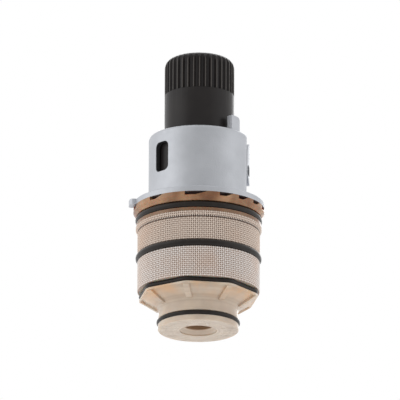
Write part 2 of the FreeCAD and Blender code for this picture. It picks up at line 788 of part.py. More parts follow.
def regulating_nut():
    """Black knob and nut in one: splined head, smooth shank, skirt and inner thread tube."""
    z_hollow_top = z_knob_top - INSERT_LENGTH - 2 * KNOB_WALL
    z_web = z_nut_shoulder - NUT_WEB_HEIGHT
    shank = turned(
        [
            (nut_thread_radius, z_nut),
            (nut_thread_radius + NUT_THREAD_WALL, z_nut),
            (nut_thread_radius + NUT_THREAD_WALL, z_web, NUT_WEB_FILLET),
            (nut_skirt_radius - NUT_SKIRT_WALL, z_web, NUT_WEB_FILLET),
            (nut_skirt_radius - NUT_SKIRT_WALL, z_nut),
            (nut_skirt_radius, z_nut),
            (nut_skirt_radius, z_nut_shoulder),
            (knob_radius - KNOB_RELIEF, z_nut_shoulder),
            (knob_radius - KNOB_RELIEF, z_relief_top),
            (knob_radius, z_relief_top),
            (knob_radius, z_splines),
            (0, z_splines),
            (0, z_hollow_top),
            (knob_radius - 2 * KNOB_WALL, z_hollow_top, KNOB_WALL),
            (knob_radius - 2 * KNOB_WALL, z_thread_top),
            (nut_thread_radius, z_thread_top),
        ]
    )
    crown = turned(
        [
            (0, z_splines),
            (knob_radius + CLOSE_FIT, z_splines),
            (knob_radius + CLOSE_FIT, z_knob_top - KNOB_CROWN_HEIGHT),
            (knob_crown_radius, z_knob_top, knob_crown_radius - HANDLE_SCREW_RADIUS),
            (0, z_knob_top),
        ]
    )
    head = spline_ring().common(crown)
    pocket = tube(0, INSERT_RADIUS + PRESS_FIT, z_knob_top - INSERT_LENGTH, z_knob_top)
    return shank.fuse(head).cut(pocket).removeSplitter()


def handle_screw_insert():
    """Brass insert in the knob's top, bored for the screw that holds the handle."""
    foot = z_knob_top - INSERT_LENGTH + PRESS_FIT
    insert = tube(0, INSERT_RADIUS, foot, z_knob_top)
    return insert.cut(tube(0, HANDLE_SCREW_RADIUS, z_knob_top - HANDLE_SCREW_DEPTH, z_knob_top))


def threaded_spindle():
    """Hollow spindle that the nut moves up and down. Its flats run in the guide."""
    seal_level = (z_stem + z_cage_neck_top) / 2
    half_groove = groove_width(SPINDLE_SEAL_SECTION) / 2
    seal_floor = groove_floor(neck_bore_radius - SLIDING_FIT, SPINDLE_SEAL_SECTION)
    pin_bore = PLUNGER_RADIUS + CLOSE_FIT
    stem = turned(
        [
            (pin_bore, z_stem),
            (STEM_RADIUS, z_stem),
            (STEM_RADIUS, seal_level - half_groove),
            (seal_floor, seal_level - half_groove),
            (seal_floor, seal_level + half_groove),
            (STEM_RADIUS, seal_level + half_groove),
            (STEM_RADIUS, z_spindle_shoulder + SPINDLE_FLOOR / 2),
            (pin_bore, z_spindle_shoulder + SPINDLE_FLOOR / 2),
        ]
    )
    shank = double_d(SPINDLE_RADIUS, SPINDLE_FLAT, z_spindle_shoulder, z_spindle_thread)
    thread = tube(0, SPINDLE_RADIUS, z_spindle_thread, z_spindle_top)
    chamber = tube(0, SPRING_CHAMBER_RADIUS, z_spring_chamber, z_spindle_top)
    pin_hole = tube(0, pin_bore, z_stem, z_spindle_top)
    return shank.fuse([thread, stem]).cut([chamber, pin_hole]).removeSplitter()


def spindle_seal():
    level = (z_stem + z_cage_neck_top) / 2
    return ring_seal(neck_bore_radius - SLIDING_FIT, SPINDLE_SEAL_SECTION, level)


def overload_plug():
    """Screwed plug that closes the spring chamber, with a hexagon socket."""
    plug = tube(0, SPRING_CHAMBER_RADIUS - PRESS_FIT, z_plug, z_plug + PLUG_LENGTH)
    corners = []
    for i in range(7):
        angle = math.radians(60.0 * i)
        reach = PLUG_SOCKET_RADIUS
        level = z_plug + PLUG_LENGTH - PLUG_SOCKET_DEPTH
        corners.append(Vector(reach * math.cos(angle), reach * math.sin(angle), level))
    socket = Part.Face(Part.makePolygon(corners)).extrude(Vector(0, 0, PLUG_SOCKET_DEPTH))
    return plug.cut(socket)


def overload_spring():
    radius = SPRING_CHAMBER_RADIUS - LOOSE_FIT - OVERLOAD_WIRE / 2
    low = z_plunger_top + SEAT_PLAY
    high = z_plug - SEAT_PLAY
    return coil_spring(radius, OVERLOAD_WIRE, OVERLOAD_TURNS, low, high)


def overload_plunger():
    """Flanged pin in the spindle. It gives way upwards when the wax overshoots."""
    plunger = turned(
        [
            (0, z_plunger),
            (PLUNGER_RADIUS, z_plunger),
            (PLUNGER_RADIUS, z_plunger_flange),
            (SPRING_CHAMBER_RADIUS - RUNNING_FIT, z_plunger_flange),
            (SPRING_CHAMBER_RADIUS - RUNNING_FIT, z_plunger_top),
            (0, z_plunger_top),
        ]
    )
    socket = tube(0, PISTON_RADIUS + CLOSE_FIT, z_plunger, z_plunger + PISTON_SOCKET_DEPTH)
    return plunger.cut(socket)


def element_piston():
    """Steel pin that the wax pushes out of its element, standing in the plunger's socket."""
    top = z_plunger + PISTON_SOCKET_DEPTH - SEAT_PLAY
    return tube(0, PISTON_RADIUS, z_piston, top)


def regulating_slide():
    """Sleeve that opens one seat as it closes the other, with a spoked hub for the element."""
    half_flange = groove_width(SLIDE_SEAL_SECTION) / 2 + SLIDE_LAND
    half_groove = groove_width(SLIDE_SEAL_SECTION) / 2
    floor = groove_floor(slide_seal_reach, SLIDE_SEAL_SECTION)
    inner = slide_radius - SLIDE_WALL
    sleeve = turned(
        [
            (inner, z_slide),
            (slide_radius, z_slide),
            (slide_radius, z_bore_middle - half_flange),
            (slide_flange_radius, z_bore_middle - half_flange),
            (slide_flange_radius, z_bore_middle - half_groove),
            (floor, z_bore_middle - half_groove),
            (floor, z_bore_middle + half_groove),
            (slide_flange_radius, z_bore_middle + half_groove),
            (slide_flange_radius, z_bore_middle + half_flange),
            (slide_radius, z_bore_middle + half_flange),
            (slide_radius, z_slide_top),
            (inner, z_slide_top),
        ]
    )
    hub_bore = CAPSULE_RADIUS + CLOSE_FIT
    seat_bore = CAPSULE_FLANGE_RADIUS + CLOSE_FIT
    clip_low = z_clip - SEAT_PLAY
    clip_high = z_clip + CLIP_THICKNESS + SEAT_PLAY
    clip_bore = seat_bore + CLIP_GROOVE_DEPTH
    hub = turned(
        [
            (hub_bore, z_hub),
            (HUB_RIM_RADIUS, z_hub),
            (HUB_RIM_RADIUS, z_hub_top + HUB_RIM_HEIGHT),
            (seat_bore, z_hub_top + HUB_RIM_HEIGHT),
            (seat_bore, clip_high),
            (clip_bore, clip_high),
            (clip_bore, clip_low),
            (seat_bore, clip_low),
            (seat_bore, z_hub_top),
            (hub_bore, z_hub_top),
        ]
    )
    start = HUB_RIM_RADIUS - CLOSE_FIT
    length = inner - start + SLIDE_WALL / 2
    spoke = Part.makeBox(length, SPOKE_WIDTH, HUB_THICKNESS, Vector(start, -SPOKE_WIDTH / 2, z_hub))
    spokes = [at_azimuth(spoke, i * 360.0 / SPOKE_COUNT) for i in range(SPOKE_COUNT)]
    return sleeve.fuse([hub] + spokes).removeSplitter()


def slide_seal():
    return ring_seal(slide_seal_reach, SLIDE_SEAL_SECTION, z_bore_middle)


def wax_element():
    """Brass capsule of wax with its flange and the guide of its piston."""
    element = turned(
        [
            (0, z_capsule),
            (CAPSULE_RADIUS, z_capsule, CAPSULE_ROUND),
            (CAPSULE_RADIUS, z_hub_top),
            (CAPSULE_FLANGE_RADIUS, z_hub_top),
            (CAPSULE_FLANGE_RADIUS, z_element_guide),
            (ELEMENT_GUIDE_RADIUS, z_element_guide),
            (ELEMENT_GUIDE_RADIUS, z_element_top, PISTON_RADIUS / 2),
            (0, z_element_top),
        ]
    )
    return element.cut(tube(0, element_bore_radius, z_element_bore, z_element_top))


def element_clip():
    """Split ring that holds the element down in the slide's hub."""
    outer = CAPSULE_FLANGE_RADIUS + CLOSE_FIT + CLIP_GROOVE_DEPTH - SEAT_PLAY
    ring = tube(CLIP_INNER_RADIUS, outer, z_clip, z_clip + CLIP_THICKNESS)
    gap = Part.makeBox(outer, CLIP_GAP, CLIP_THICKNESS)
    gap.translate(Vector(CAPSULE_RADIUS, -CLIP_GAP / 2, z_clip))
    return ring.cut(gap)


PIECES = (
    nose_body,
    cage_body,
    head_housing,
    strainer_upper,
    strainer_lower,
    seal_upper,
    seal_middle,
    seal_lower,
    seal_nose,
    spindle_guide,
    knob_washer,
    return_spring,
    regulating_nut,
    handle_screw_insert,
    threaded_spindle,
    spindle_seal,
    overload_plug,
    overload_spring,
    overload_plunger,
    element_piston,
    regulating_slide,
    slide_seal,
    wax_element,
    element_clip,
)


def main():
    os.makedirs("parts", exist_ok=True)
    for piece in PIECES:
        shape = piece()
        state = "valid" if shape.isValid() else "BROKEN"
        print(f"{piece.__name__:22s} {state} solids={len(shape.Solids)} volume={shape.Volume:.1f}")
        shape.exportStep(f"parts/{piece.__name__}.step")


main()
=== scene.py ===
import logging
import math
from dataclasses import dataclass
from enum import Enum

import bmesh
import bpy
from bpy.types import Material, Node, NodeSocket, Object
from mathutils import Matrix, Vector


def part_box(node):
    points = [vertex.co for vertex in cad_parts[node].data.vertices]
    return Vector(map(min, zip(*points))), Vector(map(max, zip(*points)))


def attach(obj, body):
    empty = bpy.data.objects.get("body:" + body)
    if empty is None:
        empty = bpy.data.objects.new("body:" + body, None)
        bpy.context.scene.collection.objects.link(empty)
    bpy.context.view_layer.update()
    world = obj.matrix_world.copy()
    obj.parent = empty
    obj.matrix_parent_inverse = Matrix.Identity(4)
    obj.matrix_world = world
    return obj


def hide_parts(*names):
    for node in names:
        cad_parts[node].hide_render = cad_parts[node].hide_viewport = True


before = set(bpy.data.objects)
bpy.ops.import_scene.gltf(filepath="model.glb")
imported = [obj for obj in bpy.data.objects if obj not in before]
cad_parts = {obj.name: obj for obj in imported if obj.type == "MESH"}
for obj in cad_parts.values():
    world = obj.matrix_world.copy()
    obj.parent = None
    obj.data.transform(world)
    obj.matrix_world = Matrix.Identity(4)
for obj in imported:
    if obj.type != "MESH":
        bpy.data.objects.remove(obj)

# A mixing cartridge for a bath or shower tap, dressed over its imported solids.
# Sizes in the classes are in millimetres, and MM turns them into the scene's metres.
# Azimuths are in degrees from the front (-Y), growing towards +X.

MM = 0.001
MERGE_DISTANCE = 0.001
SMOOTH_DEGREES = 28.0
ALL_SMOOTH_DEGREES = 180.0
SPLINE_LENGTH = 14.45
log = logging.getLogger("cartridge")


class Body(Enum):
    """Bodies of the frame that new pieces ride on."""

    HOUSING = "housing"
    KNOB = "knob"


class Slot(Enum):
    """Material slots of the record."""

    MESH = "woven_mesh"
    KNOB = "black_plastic"


def bottom(node: str) -> float:
    """Lowest level of a node of the frame, in millimetres."""
    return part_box(node)[0].z / MM


def top(node: str) -> float:
    """Highest level of a node of the frame, in millimetres."""
    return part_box(node)[1].z / MM


class Graph:
    """Shader nodes of one material, with short calls for what the finishes share."""

    def __init__(self, name: str) -> None:
        """Starts a material.

        Args:
            name: the finish's name.
        """
        self.material: Material = bpy.data.materials.new(name)
        self.material.use_nodes = True
        self.nodes = self.material.node_tree.nodes
        self.links = self.material.node_tree.links
        self.surface: Node = self.nodes["Principled BSDF"]
        self.place: NodeSocket = self.add("ShaderNodeTexCoord").outputs["Object"]

    def add(self, kind: str, **settings: object) -> Node:
        """Adds a node.

        Args:
            kind: the node's type.
            settings: its properties by name.

        Returns:
            The new node.
        """
        node = self.nodes.new(kind)
        for name, value in settings.items():
            setattr(node, name, value)
        return node

    def noise(self, scale: float, detail: float = 4.0, stretch: Vector | None = None) -> NodeSocket:
        """Cloudy pattern on Object coordinates.

        Args:
            scale: how many clouds there are to a metre.
            detail: how many finer layers it has.
            stretch: factors along the axes, where the pattern has a grain.

        Returns:
            A value from 0 to 1.
        """
        node = self.add("ShaderNodeTexNoise")
        node.inputs["Scale"].default_value = scale
        node.inputs["Detail"].default_value = detail
        place = self.place
        if stretch is not None:
            mapping = self.add("ShaderNodeMapping")
            mapping.inputs["Scale"].default_value = stretch
            self.links.new(place, mapping.inputs["Vector"])
            place = mapping.outputs["Vector"]
        self.links.new(place, node.inputs["Vector"])
        return node.outputs["Fac"]

    def ramp(self, value: NodeSocket, low: float, high: float) -> NodeSocket:
        """Spreads the values between two limits over 0 to 1.

        Args:
            value: what to spread.
            low: the value that becomes 0.
            high: the value that becomes 1.

        Returns:
            The spread value.
        """
        node = self.add("ShaderNodeMapRange", clamp=True)
        node.inputs["From Min"].default_value = low
        node.inputs["From Max"].default_value = high
        self.links.new(value, node.inputs["Value"])
        return node.outputs["Result"]

    def maths(self, operation: str, first: NodeSocket, second: NodeSocket | float) -> NodeSocket:
        """One step of arithmetic.

        Args:
            operation: what the step does.
            first: its first value.
            second: its second value.

        Returns:
            The result.
        """
        node = self.add("ShaderNodeMath", operation=operation)
        self.links.new(first, node.inputs[0])
        if isinstance(second, NodeSocket):
            self.links.new(second, node.inputs[1])
        else:
            node.inputs[1].default_value = second
        return node.outputs[0]

    def blend(self, share: NodeSocket, first: object, second: object) -> NodeSocket:
        """Mixes two colours.

        Args:
            share: how much of the second shows, from 0 to 1.
            first: a colour or a colour socket.
            second: a colour or a colour socket.

        Returns:
            The mixed colour.
        """
        node = self.add("ShaderNodeMix", data_type="RGBA")
        self.links.new(share, node.inputs[0])
        for socket, colour in ((node.inputs[6], first), (node.inputs[7], second)):
            if isinstance(colour, NodeSocket):
                self.links.new(colour, socket)
            else:
                socket.default_value = (*colour, 1.0)
        return node.outputs[2]

    def along(self, axis: str) -> NodeSocket:
        """Place along one of the cartridge's axes, in metres."""
        split = self.add("ShaderNodeSeparateXYZ")
        self.links.new(self.place, split.inputs[0])
        return split.outputs[axis]

    def band(self, axis: str, low: float, width: float) -> NodeSocket:
        """Strip between two levels, with soft edges.

        Args:
            axis: the axis that the levels are on.
            low: where it starts, in metres.
            width: how wide it is, in metres.

        Returns:
            1 inside the strip and 0 outside.
        """
        edge = width * 0.15
        place = self.along(axis)
        rising = self.ramp(place, low - edge, low + edge)
        falling = self.ramp(place, low + width + edge, low + width - edge)
        return self.maths("MULTIPLY", rising, falling)

    def radius(self) -> NodeSocket:
        """Distance from the cartridge's axis, in metres."""
        flatten = self.add("ShaderNodeVectorMath", operation="MULTIPLY")
        flatten.inputs[1].default_value = (1.0, 1.0, 0.0)
        self.links.new(self.place, flatten.inputs[0])
        length = self.add("ShaderNodeVectorMath", operation="LENGTH")
        self.links.new(flatten.outputs[0], length.inputs[0])
        return length.outputs["Value"]

    def rings(self, scale: float) -> NodeSocket:
        """Faint rings round the axis: partly marks as a turned mould leaves them, partly painted sheen
        bands.

        Args:
            scale: how many there are to a metre.

        Returns:
            A value from 0 to 1.
        """
        join = self.add("ShaderNodeCombineXYZ")
        self.links.new(self.radius(), join.inputs["X"])
        self.links.new(self.along("Z"), join.inputs["Z"])
        node = self.add("ShaderNodeTexNoise")
        node.inputs["Scale"].default_value = scale
        self.links.new(join.outputs[0], node.inputs["Vector"])
        return node.outputs["Fac"]

    def grain(self, pattern: NodeSocket, depth: float) -> None:
        """Raises the surface by a pattern.

        Args:
            pattern: values from 0 to 1.
            depth: height of the grain in metres.
        """
        bump = self.add("ShaderNodeBump")
        bump.inputs["Strength"].default_value = 1.0
        bump.inputs["Distance"].default_value = depth
        self.links.new(pattern, bump.inputs["Height"])
        self.links.new(bump.outputs["Normal"], self.surface.inputs["Normal"])

    def feed(self, socket: str, value: NodeSocket) -> None:
        """Links a value to one of the shader's sockets."""
        self.links.new(value, self.surface.inputs[socket])

    def fix(self, **values: float) -> None:
        """Sets plain values on the shader's sockets, whose names have spaces for underscores."""
        for name, value in values.items():
            self.surface.inputs[name.replace("_", " ")].default_value = value


Colour = tuple[float, float, float]


@dataclass(frozen=True)
class CastAlloy:
    """Satin die-cast metal with a fine blasted grain, and painted shade in dark grey on its inside."""

    light: Colour = (0.60, 0.615, 0.65)
    dull: Colour = (0.525, 0.54, 0.57)
    # painted shade: dark grey of the inside of the barrel and the jambs of its windows
    inside: Colour = (0.16, 0.16, 0.165)
    roughness_low: float = 0.44
    roughness_high: float = 0.60
    grain_depth: float = 0.00006
    skin_radius: float = 0.0188
    skin_half_width: float = 0.0178
    inside_top: float = 0.074

    def material(self) -> Material:
        """Builds the finish."""
        graph = Graph("satin_cast_alloy")
        clouds = graph.ramp(graph.noise(90.0, 5.0), 0.3, 0.7)
        skin = graph.blend(clouds, self.light, self.dull)
        # painted shade: inside the barrel's bore, below its top, the colour turns dark grey
        within = graph.ramp(graph.radius(), self.skin_radius, self.skin_radius - 0.1 * MM)
        width = graph.maths("ABSOLUTE", graph.along("X"), 0.0)
        narrow = graph.ramp(width, self.skin_half_width, self.skin_half_width - 0.1 * MM)
        low = graph.ramp(graph.along("Z"), self.inside_top + 0.1 * MM, self.inside_top)
        hollow_shade = graph.maths("MULTIPLY", graph.maths("MULTIPLY", within, narrow), low)
        graph.feed("Base Color", graph.blend(hollow_shade, skin, self.inside))
        rough = graph.add("ShaderNodeMapRange", clamp=True)
        rough.inputs["To Min"].default_value = self.roughness_low
        rough.inputs["To Max"].default_value = self.roughness_high
        graph.links.new(graph.noise(400.0, 3.0), rough.inputs["Value"])
        graph.feed("Roughness", rough.outputs["Result"])
        graph.grain(graph.noise(1800.0, 3.0), self.grain_depth)
        graph.fix(Metallic=1.0)
        return graph.material


@dataclass(frozen=True)
class KnobMoulding:
    """Black plastic of the knob, with a painted highlight: the crests of its splines are lighter than the
    grooves and the shank.
    """

    colour: Colour = (0.012, 0.0095, 0.0095)
    mottle: Colour = (0.017, 0.014, 0.013)
    # painted highlight: lighter colour of the spline crests
    lit_crest: Colour = (0.072, 0.064, 0.059)
    crest_radius: float = 0.01318
    root_radius: float = 0.0129
    roughness: float = 0.36
    specular: float = 0.30

    def material(self) -> Material:
        """Builds the finish."""
        graph = Graph("knob_moulding")
        clouds = graph.ramp(graph.noise(160.0, 6.0), 0.35, 0.7)
        body = graph.blend(clouds, self.colour, self.mottle)
        # painted highlight: the outer part of each spline, above the groove foot, takes the lighter colour
        outer = graph.ramp(graph.radius(), self.root_radius, self.crest_radius)
        foot = (top("regulating_nut") - SPLINE_LENGTH) * MM
        above = graph.ramp(graph.along("Z"), foot, foot + 0.2 * MM)
        lit_crest_share = graph.maths("MULTIPLY", outer, above)
        graph.feed("Base Color", graph.blend(lit_crest_share, body, self.lit_crest))
        graph.grain(graph.noise(5200.0, 2.0), 0.00001)
        graph.fix(Roughness=self.roughness, Specular_IOR_Level=self.specular)
        return graph.material


@dataclass(frozen=True)
class WovenWire:
    """Wire of the strainers, with painted light: a painted highlight where it crosses over, and painted
    shade, brown, where it dips under.
    """

    # painted highlight: colour of the crowns that cross over on the lower sleeve; warm is the same on the
    # upper sleeve
    crown: Colour = (0.98, 0.94, 0.91)
    warm: Colour = (0.86, 0.74, 0.64)
    # painted shade: brown where the wire dips under
    dip_shade: Colour = (0.56, 0.43, 0.35)
    dip_radius: float = 0.02292
    crown_radius: float = 0.02314
    stain: Colour = (0.72, 0.50, 0.37)
    hem_level: float = 0.0388
    hem_step: float = 0.00064
    middle_level: float = 0.0282
    roughness: float = 0.45

    def material(self) -> Material:
        """Builds the finish."""
        graph = Graph("mesh_wire")
        hem = graph.ramp(graph.along("Z"), self.hem_level, self.hem_level + 0.1 * MM)
        level = graph.maths("SUBTRACT", graph.radius(), graph.maths("MULTIPLY", hem, self.hem_step))
        # painted light: by distance from the axis, the crowns turn lighter and the dips darker
        raised = graph.ramp(level, self.dip_radius, self.crown_radius)
        upper = graph.ramp(graph.along("Z"), self.middle_level, self.middle_level + 1.0 * MM)
        crown = graph.blend(upper, self.crown, self.warm)
        weave = graph.blend(raised, self.dip_shade, crown)
        clouds = graph.maths("MULTIPLY", graph.ramp(graph.noise(75.0, 4.0), 0.45, 0.7), 0.45)
        graph.feed("Base Color", graph.blend(clouds, weave, self.stain))
        graph.fix(Metallic=0.10, Roughness=self.roughness)
        return graph.material


@dataclass(frozen=True)
class MouldedPlastic:
    """Opaque moulded plastic with a faint mottle and an eroded grain."""

    name: str = "white_moulding"
    colour: Colour = (0.80, 0.78, 0.73)
    mottle: Colour = (0.72, 0.70, 0.65)
    roughness: float = 0.45
    specular: float = 0.35
    grain_depth: float = 0.00001

    def material(self) -> Material:
        """Builds the finish."""
        graph = Graph(self.name)
        clouds = graph.ramp(graph.noise(160.0, 6.0), 0.35, 0.7)
        graph.feed("Base Color", graph.blend(clouds, self.colour, self.mottle))
        graph.grain(graph.noise(5200.0, 2.0), self.grain_depth)
        graph.fix(Roughness=self.roughness, Specular_IOR_Level=self.specular)
        return graph.material


@dataclass(frozen=True)
class SealRubber:
    """Black rubber of the ring seals, a little dusty on its crown."""

    name: str = "seal_rubber"
    colour: Colour = (0.012, 0.008, 0.006)
    bloom: Colour = (0.020, 0.015, 0.012)
    roughness: float = 0.36
    specular: float = 0.32

    def material(self) -> Material:
        """Builds the finish."""
        graph = Graph(self.name)
        clouds = graph.ramp(graph.noise(500.0, 6.0), 0.4, 0.75)
        graph.feed("Base Color", graph.blend(clouds, self.colour, self.bloom))
        graph.grain(graph.noise(2600.0, 3.0), 0.00002)
        graph.fix(Roughness=self.roughness, Specular_IOR_Level=self.specular)
        return graph.material


@dataclass(frozen=True)
class AmberMoulding:
    """Translucent amber plastic of the cage, with painted shade: dark red-brown where its notches look
    inside, darker on the land under the upper seal, and near black behind the hem.
    """

    light: Colour = (0.50, 0.28, 0.145)
    deep: Colour = (0.21, 0.085, 0.032)
    # painted shade: dark red-brown inside the notches
    inside: Colour = (0.10, 0.028, 0.016)
    shaded: Colour = (0.20, 0.105, 0.055)
    # painted shade: near black where the cage is seen between the upright wires under the hem
    shelf: Colour = (0.045, 0.02, 0.012)
    foot: Colour = (0.62, 0.50, 0.41)
    notch_radius: float = 0.0228
    notch_level: float = 0.0464
    land_level: float = 0.0405
    shelf_level: float = 0.0382
    foot_level: float = 0.0155

    def material(self) -> Material:
        """Builds the finish."""
        graph = Graph("amber_moulding")
        streaks = graph.ramp(graph.noise(130.0, 5.0, Vector((1.0, 1.0, 0.45))), 0.36, 0.66)
        body = graph.blend(streaks, self.light, self.deep)
        # painted shade: near the axis above the notch level, the notches' inside turns dark red-brown
        above = graph.ramp(graph.along("Z"), self.notch_level, self.notch_level + 0.2 * MM)
        within = graph.ramp(graph.radius(), self.notch_radius + 0.4 * MM, self.notch_radius)
        hollow_shade = graph.maths("MULTIPLY", above, within)
        # painted shadow: a darker strip on the land under the upper seal
        land = graph.band("Z", self.land_level, 1.5 * MM)
        # painted shade: near black strip behind the gap under the hem
        shelf = graph.band("Z", self.shelf_level, 0.9 * MM)
        shade = graph.blend(graph.maths("MULTIPLY", land, 0.75), body, self.shaded)
        low = graph.ramp(graph.along("Z"), self.foot_level + 0.3 * MM, self.foot_level)
        colour = graph.blend(low, graph.blend(shelf, shade, self.shelf), self.foot)
        graph.feed("Base Color", graph.blend(hollow_shade, colour, self.inside))
        graph.grain(graph.noise(700.0, 3.0), 0.00004)
        graph.fix(Roughness=0.28, Subsurface_Weight=0.35, Subsurface_Scale=0.002)
        return graph.material


@dataclass(frozen=True)
class CreamMoulding:
    """Translucent cream plastic of the outlet nose, with orange tints where its ribs are thick, and painted
    shade, brown, inside the outlet bore.
    """

    light: Colour = (0.73, 0.605, 0.48)
    grey: Colour = (0.60, 0.485, 0.385)
    tint: Colour = (0.78, 0.47, 0.25)
    # painted shade: brown inside the outlet bore
    outlet: Colour = (0.40, 0.25, 0.155)
    ring: Colour = (0.50, 0.38, 0.28)
    scatter: Colour = (0.6, 0.45, 0.35)
    rim_radius: float = 0.020
    outlet_radius: float = 0.0053
    outlet_level: float = 0.0012

    def material(self) -> Material:
        """Builds the finish."""
        graph = Graph("cream_moulding")
        clouds = graph.ramp(graph.noise(110.0, 4.0), 0.35, 0.65)
        body = graph.blend(clouds, self.light, self.grey)
        # partly mould marks and partly painted sheen: darker rings round the axis
        marks = graph.maths("MULTIPLY", graph.ramp(graph.rings(700.0), 0.46, 0.66), 0.5)
        ringed = graph.blend(marks, body, self.ring)
        warm = graph.ramp(graph.noise(95.0, 5.0), 0.46, 0.64)
        outer = graph.ramp(graph.radius(), self.rim_radius - 5.0 * MM, self.rim_radius)
        tinted = graph.maths("MULTIPLY", graph.maths("MULTIPLY", warm, outer), 0.7)
        colour = graph.blend(tinted, ringed, self.tint)
        # painted shade: inside the outlet radius, above its mouth, the bore's wall turns brown
        bored = graph.ramp(graph.radius(), self.outlet_radius + 0.2 * MM, self.outlet_radius)
        deep = graph.ramp(graph.along("Z"), self.outlet_level, self.outlet_level + 1.0 * MM)
        hollow_shade = graph.maths("MULTIPLY", bored, deep)
        graph.feed("Base Color", graph.blend(hollow_shade, colour, self.outlet))
        graph.grain(graph.noise(500.0, 3.0), 0.00005)
        graph.surface.inputs["Subsurface Radius"].default_value = self.scatter
        graph.fix(Roughness=0.30, Subsurface_Weight=0.35, Subsurface_Scale=0.0025)
        return graph.material


@dataclass(frozen=True)
class BrightMetal:
    """Drawn wire, turned brass or steel, with fine marks along one direction."""

    name: str
    colour: Colour
    shade: Colour
    roughness: float
    mark_scale: float = 900.0

    def material(self) -> Material:
        """Builds the finish."""
        graph = Graph(self.name)
        marks = graph.ramp(graph.noise(self.mark_scale, 3.0, Vector((0.2, 0.2, 3.0))), 0.3, 0.7)
        graph.feed("Base Color", graph.blend(marks, self.colour, self.shade))
        graph.grain(marks, 0.000004)
        graph.fix(Metallic=1.0, Roughness=self.roughness)
        return graph.material


def finished(name: str, mesh: bmesh.types.BMesh, material: Material, smooth_degrees: float) -> Object:
    """Turns a bmesh into a piece of the scene, with its faces out and its sharp edges kept.

    Args:
        name: the piece's name.
        mesh: its shape in metres, freed here.
        material: its finish.
        smooth_degrees: the largest angle between faces that shade as one.

    Returns:
        The new object.
    """
    bmesh.ops.recalc_face_normals(mesh, faces=mesh.faces)
    for face in mesh.faces:
        face.smooth = True
    for edge in mesh.edges:
        if len(edge.link_faces) == 2:
            edge.smooth = edge.calc_face_angle(0.0) < math.radians(smooth_degrees)
    data = bpy.data.meshes.new(name)
    mesh.to_mesh(data)
    mesh.free()
    data.materials.append(material)
    piece = bpy.data.objects.new(name, data)
    bpy.context.scene.collection.objects.link(piece)
    log.info("%s: %d faces", name, len(data.polygons))
    return piece


